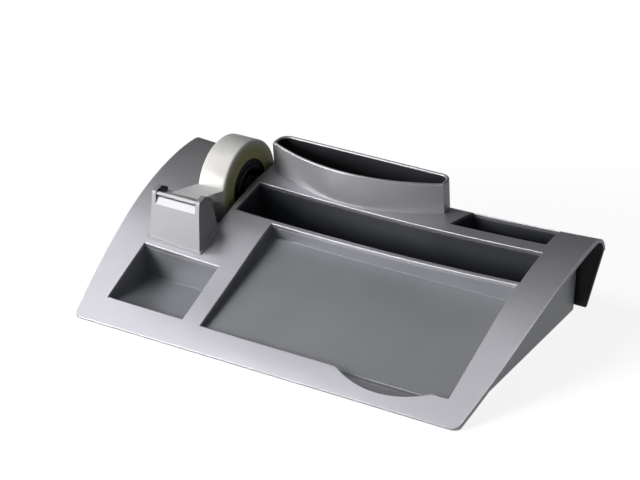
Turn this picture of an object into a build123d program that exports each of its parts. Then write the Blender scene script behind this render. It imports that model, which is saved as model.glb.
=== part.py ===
from build123d import *
import math
import os

os.makedirs("parts", exist_ok=True)

# Desk organizer with a tape dispenser and a side drawer, in millimetres.
# X runs to the right, Y runs to the back and Z goes up from the desk.
# The values below count Y from the front edge; each finished piece is then moved
# forward by half of the depth, so the origin is the middle of the footprint, on the desk.

# ---------------------------------------------------------------- the body
desk_clearance = 0.8        # the shell's lower edges stand this far off the desk, on the feet
shell_wall = 2.2
seat_gap = 0.1              # between the underside of the shell and what fits below it
front_half_width = 128.0
middle_half_width = 137.9
rear_half_width = 137.4
middle_y = 78.5             # where the bowed side passes the middle half width
crest_y = 143.0             # highest line of the body
crest_height = 49.0         # at the two ends, where the body is highest
curl_radius = 11.5          # the sheet rolls over the crest on this radius
rear_foot_y = 149.0         # lower edge of the back wall
dish_depth = 4.8            # the middle of the body lies this much lower than its ends
dish_run = 80.0             # the dish fades in over this distance from the front edge
front_lip = 1.0             # height of the front edge
front_corner_radius = 5.0
wing_foot_half_width = 129.0    # the overhanging end of the back wall narrows to this at the desk

# The swept profile starts outside the bowed sides.
profile_reach = max(front_half_width, middle_half_width, rear_half_width) + shell_wall

# Side view of the ends: distance from the front, height and slope in degrees.
deck_stations = [
    (0.0, desk_clearance + front_lip, 24.8),
    (47.0, 23.3, 24.2),
    (94.0, 41.3, 17.8),
    (125.0, 47.9, 7.6),
    (crest_y, crest_height, 0.0),
]

# ---------------------------------------------------------------- places for things, left to right
cell_wall = 1.15            # wall of every inner box
notes_left, notes_right = -49.3, 114.3
notes_front, notes_back = 15.8, 93.3
notes_floor_front, notes_floor_back = 4.4, 27.6
notes_floor_thickness = 1.6
scoop_x, scoop_front, scoop_radius = 73.0, 7.6, 62.0
scoop_pad_left, scoop_pad_right = 36.0, 110.0
scoop_pad_front = 3.0
slot_left, slot_right = -76.0, 115.0
slot_front, slot_back = 95.7, 122.0
clip_left, clip_right = -115.0, -62.0
clip_front, clip_back = 16.5, 55.6
clip_floor_front, clip_floor_back = 5.4, 3.9
clip_floor_thickness = 1.5
card_front_left, card_back_left = 50.4, 56.0
card_right = 113.3
card_front, card_back = 129.7, 147.0
cell_floor = 3.6            # height of the inside floor of the slot and the pen cup
card_floor = 10.6
cell_floor_thickness = 1.4
rear_cut_z = 34.0           # the openings at the back are cut above this height, clear of the back wall

cup_left, cup_right = -76.0, 42.0
cup_front, cup_back = 123.6, 150.0
cup_rim_height = 64.0
cup_wall = 2.0
cup_fit = 0.15              # round the cup in the shell's opening
cup_end_depth = 19.0        # the curved front starts this far in front of the back
cup_corner_radius = 7.0
cup_rim_rounding = 0.8

# ---------------------------------------------------------------- tape dispenser
roll_y, roll_z = 122.7, 39.8
tape_width = 19.0
tape_middle_x = -93.5
roll_radius = 28.0
core_radius = 16.6
core_bore_radius = 12.8
hub_fit = 0.1
hub_rim = 2.0
axle_radius = 3.0
running_fit = 0.05
hub_boss_radius = 6.0
hub_web = 2.0
hub_overhang = 1.0          # the hub is this much wider than the tape at each side
well_left, well_right = -107.5, -79.5
well_front, well_back = 82.5, 151.6
well_floor = 8.4
well_wall = 1.4
notch_fit = 0.1             # between the axle and the notches that it lies in
bearing_thickness = 3.0     # the two pads on the well's cheeks that carry the axle
bearing_half_width = 7.0
bearing_top = 43.5
ballast_thickness = 4.6
ballast_inset = 2.5
ballast_back = 145.0

tower_left, tower_right = -113.5, -79.5
ear_thickness = 3.0
tower_wall = 1.8
tower_flare = 1.6           # each side stands this much further out at the deck than at the top
lip_front, lip_back = 58.9, 80.9
tower_lip = 0.8             # a thin lip runs round the tower's foot
ear_rounding = 1.8
# Side view of the cutter tower, from its front foot round to its back foot.
tower_front_foot = (58.6, 20.0)
tower_front_top = (65.0, 56.6)
tower_ear_top = (71.4, 57.7)
tower_back_top = (76.8, 54.4)
tower_back_foot = (81.4, 24.0)
bevel_foot_z = 49.0         # the bevelled front edge between the ears starts here
bevel_top_y, bevel_top_z = 67.2, 55.2
platform_slope = 0.34       # the blade's seat falls this much per millimetre towards the back
peg_places = [(-107.0, 70.0), (-86.0, 70.0)]    # pegs that hold the tower in the deck
peg_radius = 2.0
peg_fit = 0.1
peg_foot_z = 25.0
blade_thickness = 0.6
blade_tip_y = 64.4
blade_depth = 9.0
blade_side_gap = 0.25
tooth_pitch = 1.3
tooth_depth = 0.9
strip_thickness = 0.25
strip_lift = 0.1            # the free tape lies this much over the blade
strip_landing = 162.0       # where the strip meets the roll, in degrees round from the back
strip_gap = 0.3

# ---------------------------------------------------------------- drawer
panel_x = 124.0             # outer face of both end panels
panel_thickness = 2.0
panel_gap = 0.4             # under the sheet
panel_corner_radius = 6.0
panel_return = 7.0          # the panel turns the rear corner by this much
panel_front = 8.0
drawer_left = -42.0
drawer_front_y, drawer_back_y = 40.0, 88.0
drawer_bottom = 2.2
drawer_floor = 1.5
drawer_wall = 1.5
drawer_headroom = 0.8       # under the notes tray
ledge_width = 2.0
runner_gap = 0.4
runner_wall = 2.0
runner_lip = 1.5
runner_right = 119.0
bumper_length = 5.0
bumper_gap = 0.3
bumper_front, bumper_back = 56.0, 72.0
bumper_height = 6.0
bumper_radius = 1.0
drawer_travel = 105.0
stop_x, stop_y = -36.0, 64.0    # stop peg under the drawer, which runs in a slot of the base
stop_radius = 2.0
stop_fit = 0.3
stop_foot_z = 1.0

# ---------------------------------------------------------------- base, feet and screws
base_thickness = 1.2
base_side_gap = 0.5
base_front, base_back = 9.0, 146.3
boss_radius = 3.0
screw_radius = 1.2
screw_hole_radius = 1.25
screw_head_radius = 2.4
screw_length = 7.0
screw_head_thickness = 1.2
screw_places = [(-55.7, 34.0), (-55.7, 80.0), (-116.0, 72.0), (-116.0, 141.0), (47.2, 140.0),
                (118.7, 138.0), (118.7, 24.0)]
foot_radius = 5.5
foot_recess = 0.4
foot_fit = 0.1
foot_x, foot_front_y, foot_back_y = 108.0, 17.0, 136.0
drawer_screw_places = [56.0, 80.0]
drawer_screw_z = 9.0
drawer_screw_length = 2.7
drawer_screw_pilot = 1.2    # depth of its hole in the end panel

# Taller than anything here, for cuts that go right through.
TALL = cup_rim_height + roll_radius


def dish(x, y):
    """How much lower the sheet lies at x, y than at the ends of the body."""
    fade = math.sin(math.pi / 2 * min(1.0, max(0.0, y) / dish_run))
    return dish_depth * fade * (1 - (x / middle_half_width) ** 2)


def side_profile(x, inset, bottom):
    """Closed side view of the body at x, drawn smaller by inset under the deck and at the back."""
    points = []
    slopes = []
    for y, z, slope in deck_stations:
        angle = math.radians(slope)
        points.append((y + inset * math.sin(angle), z - dish(x, y) - inset * math.cos(angle)))
        slopes.append((math.cos(angle), math.sin(angle)))
    radius = curl_radius - inset
    center_z = crest_height - dish(x, crest_y) - curl_radius
    diagonal = radius * math.sqrt(0.5)
    rear_top = (crest_y + radius, center_z)
    rear_foot = (rear_foot_y - inset, bottom)
    with BuildSketch(Plane.YZ.offset(x)) as section:
        with BuildLine():
            Line(rear_foot, (points[0][0], bottom))
            Line((points[0][0], bottom), points[0])
            Spline(*points, tangents=(slopes[0], slopes[-1]))
            ThreePointArc(points[-1], (crest_y + diagonal, center_z + diagonal), rear_top)
            Line(rear_top, rear_foot)
        make_face()
    return section.sketch


def body_volume(inset, bottom):
    """The dished body as a solid, swept from the left end to the right end."""
    stations = [-profile_reach, -profile_reach / 2, 0.0, profile_reach / 2, profile_reach]
    sections = [side_profile(x, inset, bottom) for x in stations]
    with BuildPart() as volume:
        loft(sections=sections)
    return volume.part


def plan_outline(inset):
    """The bowed plan shape, seen from above."""
    with BuildSketch(Plane.XY) as plan:
        with BuildLine():
            right = ThreePointArc((front_half_width - inset, inset), (middle_half_width - inset, middle_y),
                                  (rear_half_width - inset, rear_foot_y + curl_radius))
            mirror(right, about=Plane.YZ)
            Line(right @ 0, (-(right @ 0).X, (right @ 0).Y))
            Line(right @ 1, (-(right @ 1).X, (right @ 1).Y))
        make_face()
        fillet(plan.vertices().group_by(Axis.Y)[0], front_corner_radius)
    return plan.sketch


def box_between(x0, x1, y0, y1, z0, z1):
    """A box given by its limits."""
    place = Pos((x0 + x1) / 2, (y0 + y1) / 2, (z0 + z1) / 2)
    return place * Box(x1 - x0, y1 - y0, z1 - z0, mode=Mode.PRIVATE)


def upright_pin(x, y, z0, z1, radius):
    """A round pin at x, y from z0 up to z1."""
    return Pos(x, y, (z0 + z1) / 2) * Cylinder(radius, z1 - z0, mode=Mode.PRIVATE)


def level_pin(x0, x1, y, z, radius):
    """A round pin at y, z from x0 across to x1."""
    return Pos((x0 + x1) / 2, y, z) * Rot(0, 90, 0) * Cylinder(radius, x1 - x0, mode=Mode.PRIVATE)


def cup_outline(grow):
    """Half-moon outline of the pen cup: a bowed front and a straight back."""
    middle = (cup_left + cup_right) / 2
    with BuildSketch(Plane.XY) as outline:
        with BuildLine():
            ThreePointArc((cup_left, cup_back - cup_end_depth + cup_corner_radius), (middle, cup_front),
                          (cup_right, cup_back - cup_end_depth + cup_corner_radius))
            Polyline((cup_right, cup_back - cup_end_depth + cup_corner_radius), (cup_right, cup_back),
                     (cup_left, cup_back), (cup_left, cup_back - cup_end_depth + cup_corner_radius))
        make_face()
        fillet(outline.vertices().group_by(Axis.Y)[-1], cup_corner_radius)
        if grow:
            offset(amount=grow, kind=Kind.ARC)
    return outline.sketch


def card_outline(grow):
    """Plan of the card pocket, whose left side is slanted."""
    with BuildSketch(Plane.XY) as outline:
        with BuildLine():
            Polyline((card_front_left, card_front), (card_right, card_front), (card_right, card_back),
                     (card_back_left, card_back), close=True)
        make_face()
        if grow:
            offset(amount=grow, kind=Kind.INTERSECTION)
    return outline.sketch


def along(start, end, z):
    """The y at height z on the line through start and end, both given as (y, z)."""
    return start[0] + (end[0] - start[0]) * (z - start[1]) / (end[1] - start[1])


def rear_line(x, inset):
    """Foot and top of the back wall at x, as (y, z), moved forward by inset."""
    top_z = crest_height - dish(x, crest_y) - curl_radius
    return (rear_foot_y - inset, -desk_clearance), (crest_y + curl_radius - inset, top_z)


def side_prism(points, x0, x1):
    """A straight bar from x0 to x1 whose side view is given as (y, z) points."""
    with BuildPart() as bar:
        with BuildSketch(Plane.YZ.offset(x0)):
            with BuildLine():
                Polyline(*points, close=True)
            make_face()
        extrude(amount=x1 - x0)
    return bar.part


def ahead_of_rear(x, inset):
    """All the space in front of the back wall's line at x, moved forward by inset."""
    foot, top = rear_line(x, inset)
    points = [(0, -TALL), (along(foot, top, -TALL), -TALL), (along(foot, top, TALL), TALL), (0, TALL)]
    return side_prism(points, -profile_reach, profile_reach)


def write(piece, name):
    """Move a finished piece to the middle of the footprint, label it and write it to its own file."""
    placed = piece.part.moved(Location((0, -(crest_y + curl_radius) / 2, 0)))
    placed.label = name
    export_step(placed, f"parts/{name}.step")


outer_volume = body_volume(0.0, desk_clearance)
hollow_volume = body_volume(shell_wall, -desk_clearance)
room_below = body_volume(shell_wall + seat_gap, -desk_clearance)

base_top = desk_clearance + base_thickness

# ---------------------------------------------------------------- top shell
card_hole = card_outline(0.0)
cup_hole = cup_outline(cup_fit)

# The envelope keeps what lies inside the bowed plan and outside every opening in the deck.
with BuildPart() as envelope:
    extrude(plan_outline(0.0), amount=TALL)
    add(box_between(notes_left, notes_right, notes_front, notes_back, 0, TALL), mode=Mode.SUBTRACT)
    add(box_between(slot_left, slot_right, slot_front, slot_back, 0, TALL), mode=Mode.SUBTRACT)
    add(box_between(clip_left, clip_right, clip_front, clip_back, 0, TALL), mode=Mode.SUBTRACT)
    add(box_between(well_left, well_right, well_front, roll_y, 0, TALL), mode=Mode.SUBTRACT)
    add(box_between(well_left, well_right, roll_y, well_back, rear_cut_z, TALL), mode=Mode.SUBTRACT)
    extrude(card_hole.moved(Location((0, 0, rear_cut_z))), amount=TALL, mode=Mode.SUBTRACT)
    extrude(cup_hole.moved(Location((0, 0, rear_cut_z))), amount=TALL, mode=Mode.SUBTRACT)
    # The ends of the back wall narrow towards the desk.
    with BuildSketch(Plane.XZ.offset(-crest_y)):
        with BuildLine():
            Polyline((wing_foot_half_width, 0), (rear_half_width, crest_height - curl_radius),
                     (profile_reach, crest_height - curl_radius), (profile_reach, 0), close=True)
        make_face()
        mirror(about=Plane.YZ)
    extrude(amount=-TALL, mode=Mode.SUBTRACT)

with BuildPart() as screw_bosses:
    with BuildSketch(Plane.XY.offset(base_top)):
        with Locations(*screw_places):
            Circle(boss_radius)
            Circle(screw_hole_radius, mode=Mode.SUBTRACT)
    extrude(amount=TALL)
    add(hollow_volume, mode=Mode.INTERSECT)

# Shallow finger scoop in front of the notes, cut into a solid pad under the front rim.
scoop_pad = box_between(scoop_pad_left, scoop_pad_right, scoop_pad_front, notes_front - cell_wall - seat_gap,
                        base_top, TALL)
scoop_limit = box_between(scoop_pad_left, scoop_pad_right, 0, notes_front + notes_floor_thickness,
                          notes_floor_front, TALL)
scoop = upright_pin(scoop_x, scoop_front + scoop_radius, 0, TALL, scoop_radius) & scoop_limit
front_pad = scoop_pad & outer_volume

with BuildPart() as top_shell:
    add(outer_volume)
    add(hollow_volume, mode=Mode.SUBTRACT)
    add(envelope.part, mode=Mode.INTERSECT)
    add(front_pad)
    add(scoop, mode=Mode.SUBTRACT)
    add(screw_bosses.part)
    for x, y in peg_places:
        add(upright_pin(x, y, peg_foot_z, TALL, peg_radius + peg_fit), mode=Mode.SUBTRACT)
write(top_shell, "top_shell")

# ---------------------------------------------------------------- boxes under the deck
notes_slope = (notes_floor_back - notes_floor_front) / (notes_back - notes_front)


def notes_floor_z(y):
    """Height of the sloping floor of the notes tray."""
    return notes_floor_front + notes_slope * (y - notes_front)


def open_box(x0, x1, y0, y1, floor_z0, floor_z1, thickness):
    """A box under the deck, open at the top, whose floor runs from floor_z0 in front to floor_z1 behind."""
    slope = (floor_z1 - floor_z0) / (y1 - y0)
    fall = slope * cell_wall
    outside = [(y0 - cell_wall, floor_z0 - fall - thickness), (y1 + cell_wall, floor_z1 + fall - thickness),
               (y1 + cell_wall, TALL), (y0 - cell_wall, TALL)]
    inside = [(y0, floor_z0), (y1, floor_z1), (y1, TALL), (y0, TALL)]
    block = side_prism(outside, x0 - cell_wall, x1 + cell_wall) & room_below
    return block - side_prism(inside, x0, x1)


notes_box = open_box(notes_left, notes_right, notes_front, notes_back, notes_floor_front, notes_floor_back,
                     notes_floor_thickness)
slot_box = open_box(slot_left, slot_right, slot_front, slot_back, cell_floor, cell_floor,
                    cell_floor_thickness)
clip_box = open_box(clip_left, clip_right, clip_front, clip_back, clip_floor_front, clip_floor_back,
                    clip_floor_thickness)

with BuildPart() as notes_tray:
    add(notes_box)
    add(scoop, mode=Mode.SUBTRACT)
write(notes_tray, "notes_tray")

with BuildPart() as upright_slot:
    add(slot_box)
write(upright_slot, "upright_slot")

with BuildPart() as clip_tray:
    add(clip_box)
write(clip_tray, "clip_tray")

card_body = card_outline(cell_wall)
with BuildPart() as card_pocket:
    extrude(card_body.moved(Location((0, 0, card_floor - cell_floor_thickness))), amount=TALL)
    add(room_below, mode=Mode.INTERSECT)
    extrude(card_hole.moved(Location((0, 0, card_floor))), amount=TALL, mode=Mode.SUBTRACT)
write(card_pocket, "card_pocket")

# ---------------------------------------------------------------- pen cup
cup_body = cup_outline(0.0)
cup_space = cup_outline(-cup_wall)
cup_room = ahead_of_rear(cup_left, shell_wall + seat_gap)
cup_hollow = extrude(cup_space.moved(Location((0, 0, cell_floor))), amount=TALL)
cup_hollow = cup_hollow & ahead_of_rear(cup_left, shell_wall + seat_gap + cup_wall)
with BuildPart() as pen_cup:
    extrude(cup_body.moved(Location((0, 0, base_top + seat_gap))),
            amount=cup_rim_height - base_top - seat_gap)
    add(cup_room, mode=Mode.INTERSECT)
    add(cup_hollow, mode=Mode.SUBTRACT)
    fillet(pen_cup.edges().group_by(Axis.Z)[-1], cup_rim_rounding)
write(pen_cup, "pen_cup")

# ---------------------------------------------------------------- tape well with the axle's pads
with BuildPart() as tape_well:
    add(box_between(well_left - well_wall, well_right + well_wall, well_front - well_wall, 2 * TALL,
                    well_floor - well_wall, TALL))
    add(box_between(well_left, well_right, well_front, 2 * TALL, well_floor, TALL), mode=Mode.SUBTRACT)
    for pad_left in (well_left, well_right - bearing_thickness):
        add(box_between(pad_left, pad_left + bearing_thickness, roll_y - bearing_half_width,
                        roll_y + bearing_half_width, well_floor, bearing_top))
    add(room_below, mode=Mode.INTERSECT)
    # Notches that the axle drops into from above.
    with BuildSketch(Plane.YZ.offset(well_left)):
        with Locations((roll_y, roll_z)):
            Circle(axle_radius + notch_fit)
        with Locations((roll_y, roll_z + TALL / 2)):
            Rectangle(2 * (axle_radius + notch_fit), TALL)
    extrude(amount=well_right - well_left, mode=Mode.SUBTRACT)
write(tape_well, "tape_well")

with BuildPart() as ballast_plate:
    add(box_between(well_left + ballast_inset, well_right - ballast_inset,
                    well_front + ballast_inset, ballast_back,
                    base_top, base_top + ballast_thickness))
    fillet(ballast_plate.edges().filter_by(Axis.Z), ballast_inset)
write(ballast_plate, "ballast_plate")

# ---------------------------------------------------------------- tape roll on its hub
tape_left = tape_middle_x - tape_width / 2
tape_right = tape_middle_x + tape_width / 2


def ring(outer_radius, inner_radius, x0, x1):
    """A disc about the axle from x0 to x1, with a hole where an inner radius is given."""
    with BuildPart() as piece:
        with BuildSketch(Plane.YZ.offset(x0)):
            with Locations((roll_y, roll_z)):
                Circle(outer_radius)
                if inner_radius:
                    Circle(inner_radius, mode=Mode.SUBTRACT)
        extrude(amount=x1 - x0)
    return piece


tape_axle = ring(axle_radius, 0, well_left + notch_fit, well_right - notch_fit)
write(tape_axle, "tape_axle")

hub_left = tape_left - hub_overhang
hub_right = tape_right + hub_overhang
hub_radius = core_bore_radius - hub_fit
hub_rim_ring = ring(hub_radius, hub_radius - hub_rim, hub_left, hub_right)
hub_boss_ring = ring(hub_boss_radius, axle_radius + running_fit, hub_left, hub_right)
hub_web_ring = ring(hub_radius - hub_rim, hub_boss_radius, tape_middle_x - hub_web / 2,
                    tape_middle_x + hub_web / 2)
with BuildPart() as tape_hub:
    add(hub_rim_ring.part)
    add(hub_boss_ring.part)
    add(hub_web_ring.part)
write(tape_hub, "tape_hub")

tape_core = ring(core_radius, core_bore_radius, tape_left, tape_right)
write(tape_core, "tape_core")

tape_roll = ring(roll_radius, core_radius + running_fit, tape_left, tape_right)
write(tape_roll, "tape_roll")

# ---------------------------------------------------------------- cutter tower, blade and free tape
hollow_top = bevel_foot_z - tower_wall
foot_z = tower_front_foot[1]


def tower_front_y(z):
    """Front face of the tower at height z."""
    return along(tower_front_foot, tower_front_top, z)


def tower_back_y(z):
    """Back face of the tower at height z."""
    return along(tower_back_foot, tower_back_top, z)


def platform_z(y):
    """Height of the blade's seat, which falls towards the back."""
    return bevel_top_z - platform_slope * (y - bevel_top_y)


between_ears = side_prism(
    [(0, bevel_foot_z), (tower_front_y(bevel_foot_z), bevel_foot_z), (bevel_top_y, bevel_top_z),
     (TALL, platform_z(TALL)), (TALL, TALL), (0, TALL)],
    tower_left + ear_thickness, tower_right - ear_thickness)
tower_hollow = side_prism(
    [(tower_front_y(foot_z) + tower_wall, foot_z), (tower_front_y(hollow_top) + tower_wall, hollow_top),
     (tower_back_y(hollow_top) - tower_wall, hollow_top), (tower_back_y(foot_z) - tower_wall, foot_z)],
    tower_left + tower_wall, tower_right - tower_wall)
# Seen from the front, both sides of the tower lean in towards the top.
with BuildSketch(Plane.XZ) as tower_front_view:
    with BuildLine():
        Polyline((tower_left - tower_flare, foot_z), (tower_right + tower_flare, foot_z),
                 (tower_right, bevel_foot_z), (tower_right, TALL), (tower_left, TALL),
                 (tower_left, bevel_foot_z), close=True)
    make_face()
tower_envelope = extrude(tower_front_view.sketch, amount=-2 * TALL)
lip_block = box_between(tower_left - tower_flare - tower_lip, tower_right + tower_flare + tower_lip,
                        lip_front, lip_back, 0, TALL)
lip_slab = lip_block & body_volume(-tower_lip, desk_clearance)
with BuildPart() as cutter_tower:
    with BuildSketch(Plane.YZ.offset(tower_left - tower_flare)) as tower_side:
        with BuildLine():
            Polyline(tower_front_foot, tower_front_top, tower_ear_top, tower_back_top, tower_back_foot,
                     close=True)
        make_face()
        fillet(tower_side.vertices().sort_by(Axis.Y)[-3:], ear_rounding)
    extrude(amount=tower_right - tower_left + 2 * tower_flare)
    add(tower_envelope, mode=Mode.INTERSECT)
    add(lip_slab)
    add(between_ears, mode=Mode.SUBTRACT)
    add(tower_hollow, mode=Mode.SUBTRACT)
    add(outer_volume, mode=Mode.SUBTRACT)
    for x, y in peg_places:
        add(upright_pin(x, y, peg_foot_z, bevel_foot_z, peg_radius))
write(cutter_tower, "cutter_tower")

platform_angle = math.atan(platform_slope)
blade_left = tower_left + ear_thickness + blade_side_gap
blade_right = tower_right - ear_thickness - blade_side_gap
blade_width = blade_right - blade_left
blade_plane = Plane(origin=(blade_left, blade_tip_y, platform_z(blade_tip_y)), x_dir=(1, 0, 0),
                    z_dir=(0, math.sin(platform_angle), math.cos(platform_angle)))
tooth_count = int(blade_width / tooth_pitch)
tooth_width = blade_width / tooth_count
tooth_points = []
for tooth in range(tooth_count):
    tooth_points.append((tooth * tooth_width, tooth_depth))
    tooth_points.append(((tooth + 0.5) * tooth_width, 0))
with BuildPart() as cutter_blade:
    with BuildSketch(blade_plane):
        with BuildLine():
            Polyline(*tooth_points, (blade_width, tooth_depth), (blade_width, blade_depth), (0, blade_depth),
                     close=True)
        make_face()
    extrude(amount=blade_thickness)
write(cutter_blade, "cutter_blade")

landing = math.radians(strip_landing)
strip_end_y = roll_y + (roll_radius + strip_gap) * math.cos(landing)
strip_end_z = roll_z + (roll_radius + strip_gap) * math.sin(landing)
strip_start_y = blade_tip_y + tooth_depth
strip_start_z = platform_z(strip_start_y) + blade_thickness / math.cos(platform_angle) + strip_lift
strip_band = side_prism(
    [(strip_start_y, strip_start_z), (strip_end_y, strip_end_z), (strip_end_y, strip_end_z + strip_thickness),
     (strip_start_y, strip_start_z + strip_thickness)],
    tape_left, tape_right)
with BuildPart() as tape_strip:
    add(strip_band)
write(tape_strip, "tape_strip")

# ---------------------------------------------------------------- end panels, one of them the drawer's front
panel_room = body_volume(shell_wall + panel_gap, -desk_clearance)
rear_foot, rear_top = rear_line(panel_x, shell_wall + panel_gap)
rear_lean = (rear_top[0] - rear_foot[0]) / (rear_top[1] - rear_foot[1])
panel_rear = along(rear_foot, rear_top, desk_clearance)
panel_inner_x = panel_x - panel_thickness
panel_end_x = panel_x - panel_return
with BuildSketch(Plane.XY.offset(desk_clearance)) as panel_plan:
    with BuildLine():
        Polyline((panel_x, panel_front), (panel_x, panel_rear - panel_corner_radius))
        RadiusArc((panel_x, panel_rear - panel_corner_radius), (panel_x - panel_corner_radius, panel_rear),
                  -panel_corner_radius)
        Polyline((panel_x - panel_corner_radius, panel_rear), (panel_end_x, panel_rear),
                 (panel_end_x, panel_rear - panel_thickness),
                 (panel_x - panel_corner_radius, panel_rear - panel_thickness))
        RadiusArc((panel_x - panel_corner_radius, panel_rear - panel_thickness),
                  (panel_inner_x, panel_rear - panel_corner_radius), panel_corner_radius - panel_thickness)
        Polyline((panel_inner_x, panel_rear - panel_corner_radius), (panel_inner_x, panel_front),
                 (panel_x, panel_front))
    make_face()


def end_panel():
    """The right end panel: flat, leaning with the back wall and turned round the rear corner."""
    wall = extrude(panel_plan.sketch, amount=TALL, dir=(0, rear_lean, 1))
    below = box_between(0, panel_inner_x, 0, 2 * TALL, 0, drawer_bottom)
    ahead = box_between(0, 2 * TALL, panel_front, 2 * TALL, desk_clearance, TALL)
    return (wall & panel_room & ahead) - below


right_panel = end_panel()
left_panel = mirror(right_panel, about=Plane.YZ)
with BuildPart() as drawer_front:
    add(right_panel)
    for y in drawer_screw_places:
        add(level_pin(panel_inner_x, panel_inner_x + drawer_screw_pilot, y, drawer_screw_z,
                      screw_hole_radius),
            mode=Mode.SUBTRACT)
write(drawer_front, "drawer_front")

with BuildPart() as left_end_panel:
    add(left_panel)
write(left_end_panel, "left_end_panel")

# ---------------------------------------------------------------- drawer tray and its runners
tray_right = panel_inner_x - seat_gap


def drawer_rim_z(y):
    """Rim of the drawer, which slopes like the notes tray above it."""
    return notes_floor_z(y) - notes_floor_thickness - drawer_headroom


drawer_body = side_prism([(drawer_front_y, drawer_bottom), (drawer_back_y, drawer_bottom),
                          (drawer_back_y, drawer_rim_z(drawer_back_y)),
                          (drawer_front_y, drawer_rim_z(drawer_front_y))], drawer_left, tray_right)
with BuildPart() as drawer_tray:
    add(drawer_body)
    add(box_between(drawer_left, runner_right, drawer_front_y - ledge_width, drawer_back_y + ledge_width,
                    drawer_bottom, drawer_bottom + drawer_floor))
    add(box_between(drawer_left + drawer_wall, tray_right - drawer_wall, drawer_front_y + drawer_wall,
                    drawer_back_y - drawer_wall, drawer_bottom + drawer_floor, TALL), mode=Mode.SUBTRACT)
    for y in drawer_screw_places:
        add(level_pin(tray_right - drawer_wall, tray_right, y, drawer_screw_z, screw_hole_radius),
            mode=Mode.SUBTRACT)
    add(upright_pin(stop_x, stop_y, stop_foot_z, drawer_bottom + drawer_floor, stop_radius))
write(drawer_tray, "drawer_tray")

lip_bottom = drawer_bottom + drawer_floor + runner_gap
lip_top = lip_bottom + runner_lip


def runner(wall_y, lip_y, name):
    """An angle rail on the base whose lip reaches over the drawer's ledge."""
    inner_y = wall_y + math.copysign(runner_wall, lip_y - wall_y)
    angle = side_prism([(wall_y, base_top), (inner_y, base_top), (inner_y, lip_bottom), (lip_y, lip_bottom),
                        (lip_y, lip_top), (wall_y, lip_top)], drawer_left, runner_right)
    with BuildPart() as rail:
        add(angle)
    write(rail, name)


runner(drawer_front_y - ledge_width - runner_gap - runner_wall, drawer_front_y - runner_gap,
       "drawer_runner_front")
runner(drawer_back_y + ledge_width + runner_gap + runner_wall, drawer_back_y + runner_gap,
       "drawer_runner_rear")

with BuildPart() as drawer_bumper:
    add(box_between(drawer_left - bumper_gap - bumper_length, drawer_left - bumper_gap,
                    bumper_front, bumper_back,
                    base_top, base_top + bumper_height))
    fillet(drawer_bumper.edges().filter_by(Axis.Z), bumper_radius)
write(drawer_bumper, "drawer_bumper")

# ---------------------------------------------------------------- base, feet and screws
foot_places = [(side * foot_x, y) for side in (-1, 1) for y in (foot_front_y, foot_back_y)]
base_half_width = panel_inner_x - base_side_gap
slot_radius = stop_radius + stop_fit


def sunk_head(x, y, wide_radius, narrow_radius):
    """The cone of a countersunk screw head in the base plate."""
    cone = Cone(wide_radius, narrow_radius, base_thickness, mode=Mode.PRIVATE)
    return Pos(x, y, desk_clearance + base_thickness / 2) * cone


with BuildPart() as base_plate:
    add(box_between(-base_half_width, base_half_width, base_front, base_back, desk_clearance, base_top))
    with BuildSketch(Plane.XY.offset(desk_clearance)):
        with Locations(*foot_places):
            Circle(foot_radius + foot_fit)
    extrude(amount=foot_recess, mode=Mode.SUBTRACT)
    with BuildSketch(Plane.XY.offset(desk_clearance)):
        with Locations((stop_x + drawer_travel / 2, stop_y)):
            SlotOverall(drawer_travel + 2 * slot_radius, 2 * slot_radius)
    extrude(amount=base_thickness, mode=Mode.SUBTRACT)
    for x, y in screw_places:
        add(sunk_head(x, y, screw_head_radius + running_fit, screw_hole_radius), mode=Mode.SUBTRACT)
write(base_plate, "base_plate")

with BuildPart() as base_screws:
    for x, y in screw_places:
        add(sunk_head(x, y, screw_head_radius, screw_radius))
        add(upright_pin(x, y, base_top, base_top + screw_length, screw_radius))
write(base_screws, "base_screws")

with BuildPart() as drawer_screws:
    head_x = tray_right - drawer_wall
    for y in drawer_screw_places:
        add(level_pin(head_x - screw_head_thickness, head_x, y, drawer_screw_z, screw_head_radius))
        add(level_pin(head_x, head_x + drawer_screw_length, y, drawer_screw_z, screw_radius))
write(drawer_screws, "drawer_screws")

foot_names = ["foot_left_front", "foot_left_rear", "foot_right_front", "foot_right_rear"]
for (x, y), foot_name in zip(foot_places, foot_names):
    with BuildPart() as foot:
        with BuildSketch(Plane.XY):
            with Locations((x, y)):
                Circle(foot_radius)
        extrude(amount=desk_clearance + foot_recess)
    write(foot, foot_name)
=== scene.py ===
# %% [markdown]
# # A desk organizer with a tape roll and a side drawer
# The organizer is a wide, dished tray in satin silver plastic. It holds a roll of tape on the left,
# a pen cup at the back, open trays in the middle and a drawer that slides out to the right.
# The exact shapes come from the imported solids, so this lesson is about finishes, small round forms
# and light. Everything is in metres, in the frame of the solids.

# %% Load the fixed solids
import math

import bmesh
import bpy
from mathutils import Matrix, Vector


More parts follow.
